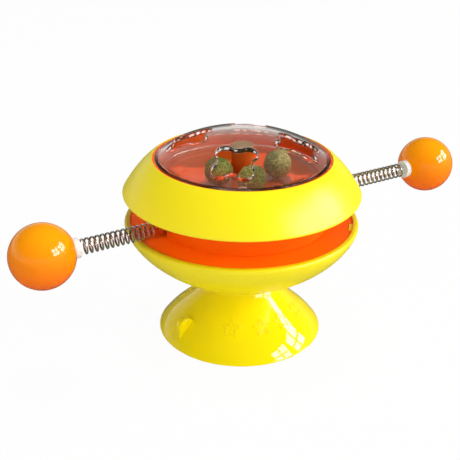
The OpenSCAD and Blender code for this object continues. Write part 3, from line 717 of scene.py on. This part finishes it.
def make_ring():
    edge = arc((RING_LOW[0] - RING_EDGE, RING_LOW[1]), RING_EDGE, -90, -8, 8)
    side = bow(RING_LOW, RING_PULL, RING_TOP, 60)
    bore = softened([
        (*RING_TOP, 0), (RING_BORE, RING_LIP_Z, 0.25), (RING_BORE, FLANGE_TOP, 0), (FLANGE_R, FLANGE_TOP, 0),
        (FLANGE_R, FLANGE_LOW, 0), (RING_IN_TOP[0], FLANGE_LOW, 0.3), (*RING_IN_TOP, 0)])
    inner = bow(RING_IN_TOP, RING_IN_PULL, RING_IN_LOW, 30)
    shape = Shape().turned(edge + side + bore[1:-1] + inner + list(RING_UNDER), 240, looped=True)
    fit(make("cone_ring", shape, "shell", crease=45), "rotor", "yellow_shell", "ring_cover")


def make_tray():
    outline = softened([
        (POST_BORE, TRAY_LOW, 0), (TRAY_R, TRAY_LOW, 0.3), (TRAY_R, FLANGE_TOP, 0),
        (TRAY_RIM_R, FLANGE_TOP, 0.2), (TRAY_RIM_R, TRAY_RIM_TOP, 0.2), (TRAY_RIM_IN, TRAY_RIM_TOP, 0.2),
        (TRAY_RIM_IN, TRAY_SEAT_Z, 0), (PAN_R, TRAY_SEAT_Z, 0.5), (PAN_R, TRAY_Z, 1.4), (POST_R, TRAY_Z, 0.8),
        (POST_R, POST_TOP, 0.2), (POST_BORE, POST_TOP, 0.2)], 6)
    shape = Shape().turned(outline, 200, looped=True)
    shape.bosses(TRAY_BOSS_TURNS, TRAY_BOSS_AT, TRAY_BOSS_R, TRAY_BOSS_TOP, TRAY_BOSS_LOW, TRAY_BORE_TOP)
    fit(make("tray", shape, "tray", crease=45), "rotor", "orange_inside", "catnip_tray")

    stopper = softened([
        (0, STOPPER_LOW, 0), (STOPPER_R, STOPPER_LOW, 0.3), (STOPPER_R, POST_TOP, 0),
        (POST_R, POST_TOP, 0.15), (POST_R, STOPPER_TOP, 0.5), (STOPPER_DISH_OUT, STOPPER_TOP, 0.2),
        (STOPPER_DISH_IN, STOPPER_DISH_Z, 0.2), (0, STOPPER_DISH_Z, 0)])
    fit(make("post_top", Shape().turned(stopper, 96), "post", crease=45), "rotor", "post_cap", "post_cap")


# Dome

def bone_reach(angle):
    """Distance from the middle of a bone-shaped hole to its edge."""
    along, across = abs(math.cos(angle)), abs(math.sin(angle))
    reach = min(WAIST_ALONG / max(along, 1e-9), WAIST_ACROSS / max(across, 1e-9))
    off = abs(LOBE_ALONG * across - LOBE_ACROSS * along)
    if off < LOBE_R:
        reach = max(reach, LOBE_ALONG * along + LOBE_ACROSS * across + math.sqrt(LOBE_R ** 2 - off ** 2))
    return reach


def spaced(loop, count):
    """Points at equal steps round a closed loop."""
    lengths = [0.0]
    for a, b in zip(loop, loop[1:] + loop[:1]):
        lengths.append(lengths[-1] + (b - a).length)
    points = []
    j = 0
    for i in range(count):
        want = lengths[-1] * i / count
        while lengths[j + 1] < want:
            j += 1
        share = (want - lengths[j]) / (lengths[j + 1] - lengths[j])
        points.append(loop[j].lerp(loop[(j + 1) % len(loop)], share))
    return points


def bone_outline():
    """Evenly spaced points round a bone-shaped hole, with its inner corners eased."""
    dense, medium = 4000, 600
    angles = [2 * math.pi * i / dense for i in range(dense)]
    even = spaced([Vector((math.cos(a), math.sin(a))) * bone_reach(a) for a in angles], medium)
    for _ in range(HOLE_EASING):
        even = [(even[i - 1] + even[i] * 2 + even[(i + 1) % medium]) / 4 for i in range(medium)]
    return spaced(even, HOLE_POINTS)


def quarter_edge(point):
    """Where a line from the hole's middle through a point leaves this quarter of the dome, at its edge."""
    way = Vector(point).normalized()
    reach = -HOLE_AT * way.x + math.sqrt(DOME_LIMIT ** 2 - (HOLE_AT * way.y) ** 2)
    if abs(way.y) > way.x:
        reach = min(reach, HOLE_AT / (abs(way.y) - way.x))
    return Vector((HOLE_AT, 0)) + way * reach


def dome_height(spot, wall=0.0):
    return DOME_BALL_Z + math.sqrt((DOME_BALL - wall) ** 2 - spot.length_squared)


def quarter_loops(hole, edges, inside):
    """Loops of points over a quarter of the dome: from its edge to the hole, through it and back below."""
    middle = Vector((HOLE_AT, 0))
    normals = []
    for i in range(HOLE_POINTS):
        run = hole[(i + 1) % HOLE_POINTS] - hole[i - 1]
        normals.append(Vector((run.y, -run.x)).normalized())

    def sheet(layer, wall, shrink):
        """A loop some layers out from the hole, on the outside or the inside of the dome's wall."""
        share = (layer / DOME_LAYERS) ** DOME_CROWDING
        spots = [
            (middle + p + n * HOLE_FILLET).lerp(e * shrink, share) for p, n, e in zip(hole, normals, edges)]
        return [(s.x, s.y, dome_height(s, wall)) for s in spots]

    loops = [sheet(j, 0.0, 1.0) for j in range(DOME_LAYERS, -1, -1)]
    for wall, sign, angles in ((0.0, -1, (60, 30, 0)), (DOME_WALL, 1, (0, 30, 60))):
        for a in angles:
            out = HOLE_FILLET * (1 - math.cos(math.radians(a)))
            drop = HOLE_FILLET * (1 - math.sin(math.radians(a)))
            spots = [middle + p + n * out for p, n in zip(hole, normals)]
            loops.append([(s.x, s.y, dome_height(s, wall) + sign * drop) for s in spots])
    return loops + [sheet(j, DOME_WALL, inside) for j in range(DOME_LAYERS + 1)]


def make_dome():
    hole = bone_outline()
    edges = [quarter_edge(p) for p in hole]
    corner = Vector((DOME_LIMIT, DOME_LIMIT)) / math.sqrt(2)
    for sign in (1, -1):
        target = Vector((corner.x, corner.y * sign))
        nearest = min(range(HOLE_POINTS), key=lambda i: (edges[i] - target).length)
        edges[nearest] = target
    loops = quarter_loops(hole, edges, DOME_IN_LIMIT / DOME_LIMIT)
    shape = Shape()
    for turn in HOLE_TURNS:
        shape.add([p for loop in loops for p in loop], lofted(len(loops), HOLE_POINTS), spin(turn))

    # Rounding drops some of the rim's points here, which leaves hairline cracks at the top of the skirt
    at_rim = [e for e in edges if e.length > DOME_LIMIT - 1e-6]
    rim_turns = sorted({round(math.atan2(e.y, e.x), 9) for e in at_rim})
    top = dome_height(Vector((DOME_LIMIT, 0)))
    low = dome_height(Vector((DOME_IN_LIMIT, 0)), DOME_WALL)
    skirt = softened([
        (DOME_LIMIT, top, 0), (DOME_R, top - 0.15, 0.4), (DOME_R, DOME_LOW, 0.4), (DOME_BORE, DOME_LOW, 0.4),
        (DOME_BORE, low + 0.05, 0.2), (DOME_IN_LIMIT, low, 0)], 4)
    wide = len(skirt)
    strips = []
    for i in range(len(rim_turns) - 1):
        for k in range(wide - 1):
            strips.append([i * wide + k, i * wide + k + 1, (i + 1) * wide + k + 1, (i + 1) * wide + k])
    for turn in HOLE_TURNS:
        spun = []
        for a in rim_turns:
            t = a + math.radians(turn)
            spun += [(r * math.cos(t), r * math.sin(t), h) for r, h in skirt]
        shape.add(spun, strips)
    fit(make("clear_dome", shape, "dome", crease=60), "dome", "smoky_clear", "dome_window")


# Arms

def wire_path(reach, curls):
    """Points along a spring's wire with outward directions, from its leg to its tail, along +X."""
    end = reach - SPRING_BACK
    pitch = (end - SPRING_FROM) / curls
    path = []
    for i in range(LEG_STEPS):
        path.append((Vector((SPRING_FROM - SPRING_LEG * (1 - i / LEG_STEPS), 0, 0)), Vector((0, 1, 0))))
    for k in range(round(curls * CURL_STEPS) + 1):
        curl = k / CURL_STEPS
        open_share = min(1.0, curl / OPENING, (curls - curl) / OPENING)
        r = COIL_R * open_share ** 2 * (3 - 2 * open_share)
        out = Vector((0, math.cos(2 * math.pi * curl), math.sin(2 * math.pi * curl)))
        path.append((Vector((SPRING_FROM + curl * pitch, 0, 0)) + out * r, out))
    for i in range(TAIL_STEPS):
        path.append((Vector((end + SPRING_TAIL * (i + 1) / TAIL_STEPS, 0, 0)), path[-1][1]))
    return path


def make_spring(side, slide):
    """A spring in two halves; the bodies and places listed for each half are not used."""
    sign, reach, curls, sway, bob = ARMS[side]
    path = wire_path(reach, curls)
    split = (sway + bob) / 2
    cut = next(i for i, (point, _) in enumerate(path) if point.x > split)
    halves = {
        "inner": (path[:cut + 1], "rotor", side + "_arm", sway - BEND_BEFORE, split - BEND_GAP),
        "outer": (path[cut:], side + "_arm", side + "_end", split + BEND_GAP, bob + BEND_AFTER),
    }
    for half, (points, first, last, start, end) in halves.items():
        coil = make(f"{side}_coil_{half}", Shape().tube(points, WIRE_R, slide), "wire", crease=60)
        near, far = ((sign * along * MM, 0, ARM_Z * MM) for along in (start, end))
        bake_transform(coil)
        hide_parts(side + "_spring")


def make_arm(side):
    sign, reach = ARMS[side][:2]
    slide = Matrix.Translation((0, 0, ARM_Z)) @ spin(0 if sign > 0 else 180)
    along = slide @ Matrix.Rotation(math.pi / 2, 4, "Y")
    make_spring(side, slide)

    face = reach - CAP_SEAT - CAP_T
    dish = face + CAP_DISH
    barb, tip = reach - PLUG_BARB_BACK, reach - PLUG_TIP_BACK
    front = softened([
        (CAP_BORE_R, face + CAP_BORE_DEEP, 0), (CAP_BORE_R, face - CAP_COLLAR, 0.15),
        (CAP_COLLAR_R, face - CAP_COLLAR, 0.2), (CAP_DISH_IN, dish, 0.1), (CAP_DISH_OUT, dish, 0.2),
        (CAP_RIM_R, face, 0.15), (CAP_R, face, CAP_RIM_ROUND), (CAP_R, reach - CAP_SEAT - 0.05, 0)], 4)
    seat = [(r, reach - math.sqrt(BALL_R ** 2 - r ** 2)) for r in (CAP_R, CAP_SEAT_R, PLUG_R)]
    plug = softened([
        (PLUG_R, barb, 0), (PLUG_BARB_R, barb, 0.15), (PLUG_TIP_R, tip, 0.2), (CAP_BORE_R, tip, 0)], 4)
    cap = Shape().turned(front + seat + plug, 96, along, looped=True)
    fit(make(f"{side}_cap", cap, "cap", crease=40), f"{side}_end", "white_cap", f"{side}_ball_cap")

    in_r = BALL_R - BALL_WALL
    hole, hole_in = (math.degrees(math.asin(BALL_HOLE_R / r)) for r in (BALL_R, in_r))
    outer = arc((0, reach), BALL_R, 90, hole - 90, 72)
    inner = arc((0, reach), in_r, hole_in - 90, 90, 40)
    outline = [(0, reach + BALL_R)] + outer[1:] + inner[:-1] + [(0, reach + in_r)]
    ball = Shape().turned(outline, 128, along)
    fit(make(f"{side}_ball_shell", ball, "ball", crease=50), f"{side}_end", "orange_ball", f"{side}_ball")


# Catnip

def leaf_net():
    """Scatters leaf scraps, lying nearly flat, over a ball."""
    long, wide, thick = SCRAP_SIZE
    net, size = geometry_net("leaf_scraps", {
        "Scraps per area": SCRAPS_PER_AREA, "Scrap length": long * MM, "Scrap width": wide * MM,
        "Scrap thickness": thick * MM, "Tilt": SCRAP_TILT, "Seed": 1})
    points = net.node("GeometryNodeDistributePointsOnFaces", {"distribute_method": "RANDOM"}, {
        "Mesh": size["Geometry"], "Density": size["Scraps per area"], "Seed": size["Seed"]})
    block = net.node("ShaderNodeCombineXYZ", {}, {
        "X": size["Scrap length"], "Y": size["Scrap width"], "Z": size["Scrap thickness"]})
    scrap = net.node("GeometryNodeMeshCube", {}, {"Size": block})
    tilt = size["Tilt"]
    least = net.node("ShaderNodeCombineXYZ", {}, {"X": 0 - tilt, "Y": 0 - tilt, "Z": -math.pi})
    most = net.node("ShaderNodeCombineXYZ", {}, {"X": tilt, "Y": tilt, "Z": math.pi})
    turn = net.node("FunctionNodeRandomValue", {"data_type": "FLOAT_VECTOR"}, {
        "Min": least, "Max": most, "Seed": size["Seed"]})
    lying = net.node("FunctionNodeRotateRotation", {"rotation_space": "LOCAL"}, {
        "Rotation": net.also(points, "Rotation"),
        "Rotate By": net.node("FunctionNodeEulerToRotation", {}, {0: turn})})
    placed = net.node("GeometryNodeInstanceOnPoints", {}, {
        "Points": points, "Instance": scrap, "Rotation": lying})
    join = net.tree.nodes.new("GeometryNodeJoinGeometry")
    for part in (size["Geometry"], placed):
        net.tree.links.new(part.output, join.inputs[0])
    return close_net(net, Socket(net, join.outputs[0]), "leaf")


def make_catnip():
    group = leaf_net()
    for i, (reach, turn) in enumerate(CATNIP_AT):
        centre = spin(turn) @ Vector((reach, 0, CATNIP_Z))
        work = bmesh.new()
        bmesh.ops.create_icosphere(work, subdivisions=5, radius=1.0)
        ways, faces = plain_mesh(work)
        verts = []
        for way in ways:
            crumb = noise.fractal(way * CRUMB_FINE + Vector((i * 7.0, 0, 0)), 0.6, 2.2, 4)
            verts.append(centre + way * (CATNIP_R - CRUMB_SUNK + CRUMB_DEEP * max(-1.0, min(1.0, crumb))))
        ball = make(f"catnip_{i + 1}_leaf", Shape().add(verts, faces), "leaf", crease=80)
        grow(ball, group, {"Seed": FIRST_SEED + i})
        fit(ball, f"catnip_{i + 1}", "catnip", f"catnip_ball_{i + 1}")


# Stage, light and camera, in metres and watts
FLOOR_HALF, FLOOR_SEEN, FLOOR_IN_GLOSS = 6.0, 0.97, 0.14
FLOOR_GREY = rgb(0.70, 0.70, 0.70)
ROOM = {"fill": 0.34, "wall": 1.2, "ceiling": 0.05, "white": 1.0}
WINDOWS = {"front_window": (0.479, -0.738, 0.475), "side_window": (0.818, -0.372, 0.438)}
PANE, PANE_STEP, WINDOW_FAR, PANE_WATTS = 0.34, 0.43, 2.0, 4.6
LIGHT_TARGET = (0, 0, 0.06)
UP = (0.0, 0.0, 1.0)
CAMERA_AT, CAMERA_LOOK, CAMERA_ROLL = (-0.197820, -0.308135, 0.226830), (0.47625, 0.76584, -0.43207), 0.77
LENS_MM, SENSOR_MM = 67.06, 36.0


def make_stage():
    """A floor and a room that look white in the picture and through the dome, and darker in reflections."""
    corners = [(x * FLOOR_HALF, y * FLOOR_HALF, 0) for x, y in ((-1, -1), (1, -1), (1, 1), (-1, 1))]
    mesh = bpy.data.meshes.new("floor")
    mesh.from_pydata(corners, [], [(0, 1, 2, 3)])
    net = Finish("pale_floor")
    path = net.node("ShaderNodeLightPath", output="Is Camera Ray")
    first = (1.0 - net.also(path, "Diffuse Depth")).clamped()
    seen = (path + net.also(path, "Is Transmission Ray") * first).clamped()
    lit = net.node("ShaderNodeBsdfDiffuse", {}, {"Color": FLOOR_GREY})
    glow, dim = (net.node("ShaderNodeEmission", {}, {"Color": WHITE, "Strength": strength})
                 for strength in (1.0, FLOOR_IN_GLOSS))
    white = net.either(seen * FLOOR_SEEN, lit, glow)
    mesh.materials.append(net.done(net.either(net.also(path, "Is Glossy Ray"), white, dim)))
    floor = bpy.data.objects.new("floor", mesh)
    bpy.context.scene.collection.objects.link(floor)

    world = bpy.data.worlds.new("studio")
    bpy.context.scene.world = world
    world.use_nodes = True
    world.node_tree.nodes.clear()
    air = Net(world.node_tree)
    path = air.node("ShaderNodeLightPath", output="Is Camera Ray")
    glossy = air.also(path, "Is Glossy Ray")
    east = air.node("ShaderNodeSeparateXYZ", {}, {0: air.node("ShaderNodeTexCoord", output="Object")})
    north, up = air.also(east, "Y"), air.also(east, "Z")
    back_left = (north * 0.9 - east * 0.42).clamped()
    low_band = (1.0 - up * 2.4).clamped()
    first = (1.0 - air.also(path, "Diffuse Depth")).clamped()
    through = air.also(path, "Is Transmission Ray") * first
    seen = (path + through + glossy * low_band * (0.3 + back_left * 0.7)).clamped()
    tone = {name: air.node("ShaderNodeBackground", {}, {"Color": WHITE, "Strength": strength})
            for name, strength in ROOM.items()}
    around = air.either(low_band, tone["fill"], tone["wall"])
    room = air.either(glossy, around, tone["ceiling"])
    air.node("ShaderNodeOutputWorld", {}, {"Surface": air.either(seen, room, tone["white"])})


def soft_light(name, toward, distance, size, watts, colour=(1.0, 1.0, 1.0), shift=(0.0, 0.0), glossy=False):
    """A rectangular lamp that faces the object, shifted sideways and upwards in its own plane."""
    lamp = bpy.data.lights.new(name, "AREA")
    lamp.shape = "RECTANGLE"
    lamp.size, lamp.size_y = size
    lamp.energy = watts
    lamp.color = colour
    way = Vector(toward).normalized()
    turn = way.to_track_quat("Z", "Y")
    thing = bpy.data.objects.new(name, lamp)
    thing.rotation_mode = "QUATERNION"
    thing.rotation_quaternion = turn
    thing.location = Vector(LIGHT_TARGET) + way * distance + turn @ Vector((*shift, 0))
    thing.visible_glossy = glossy
    bpy.context.scene.collection.objects.link(thing)
    return thing


def light_only(lamp, thing):
    """Keeps a lamp to one object."""
    lit = bpy.data.collections.new(lamp.name)
    lit.objects.link(thing)
    lamp.light_linking.receiver_collection = lit


def make_light():
    """Two windows of four panes that show in reflections, and lamps that don't."""
    for name, toward in WINDOWS.items():
        for i, (u, v) in enumerate(((-1, -1), (1, -1), (-1, 1), (1, 1))):
            shift = (u * PANE_STEP / 2, v * PANE_STEP / 2)
            soft_light(
                f"{name}_{i + 1}", toward, WINDOW_FAR, (PANE, PANE), PANE_WATTS, shift=shift, glossy=True)
    soft_light("top_lamp", UP, distance=1.1, size=(0.14, 0.14), watts=3.8)
    tray_lamp = soft_light(
        "tray_lamp", UP, distance=0.6, size=(0.03, 0.03), watts=1.4, colour=(1.0, 0.20, 0.10))
    light_only(tray_lamp, bpy.data.objects["tray"])
    soft_light("front_fill", (-0.60, -0.76, 0.22), distance=1.3, size=(1.4, 0.25), watts=2.8)
    soft_light("left_fill", (-0.97, -0.05, 0.20), distance=1.2, size=(0.5, 0.2), watts=1.0)
    deck_lamp = soft_light("deck_lamp", (-0.88, -0.40, 0.33), distance=0.8, size=(0.4, 0.1), watts=5.0)
    light_only(deck_lamp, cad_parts["bowl_liner"])


def make_camera():
    lens = bpy.data.cameras.new("photo_camera")
    lens.lens, lens.sensor_width = LENS_MM, SENSOR_MM
    lens.clip_start, lens.clip_end = 0.01, 30.0
    camera = bpy.data.objects.new("photo_camera", lens)
    camera.rotation_mode = "QUATERNION"
    facing = Vector(CAMERA_LOOK).to_track_quat("-Z", "Y")
    camera.rotation_quaternion = facing @ spin(CAMERA_ROLL).to_quaternion()
    camera.location = CAMERA_AT
    bpy.context.scene.collection.objects.link(camera)
    bpy.context.scene.camera = camera


make_camera()
make_stage()
for node, finish in CAD_FINISH.items():
    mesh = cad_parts[node].data
    mesh.materials.clear()
    mesh.materials.append(FINISH[finish])
make_foot()
make_stars()
make_bowl()
make_ring()
make_tray()
make_dome()
for side in ARMS:
    make_arm(side)
make_catnip()
make_light()
bpy.context.scene.view_settings.view_transform = "Standard"
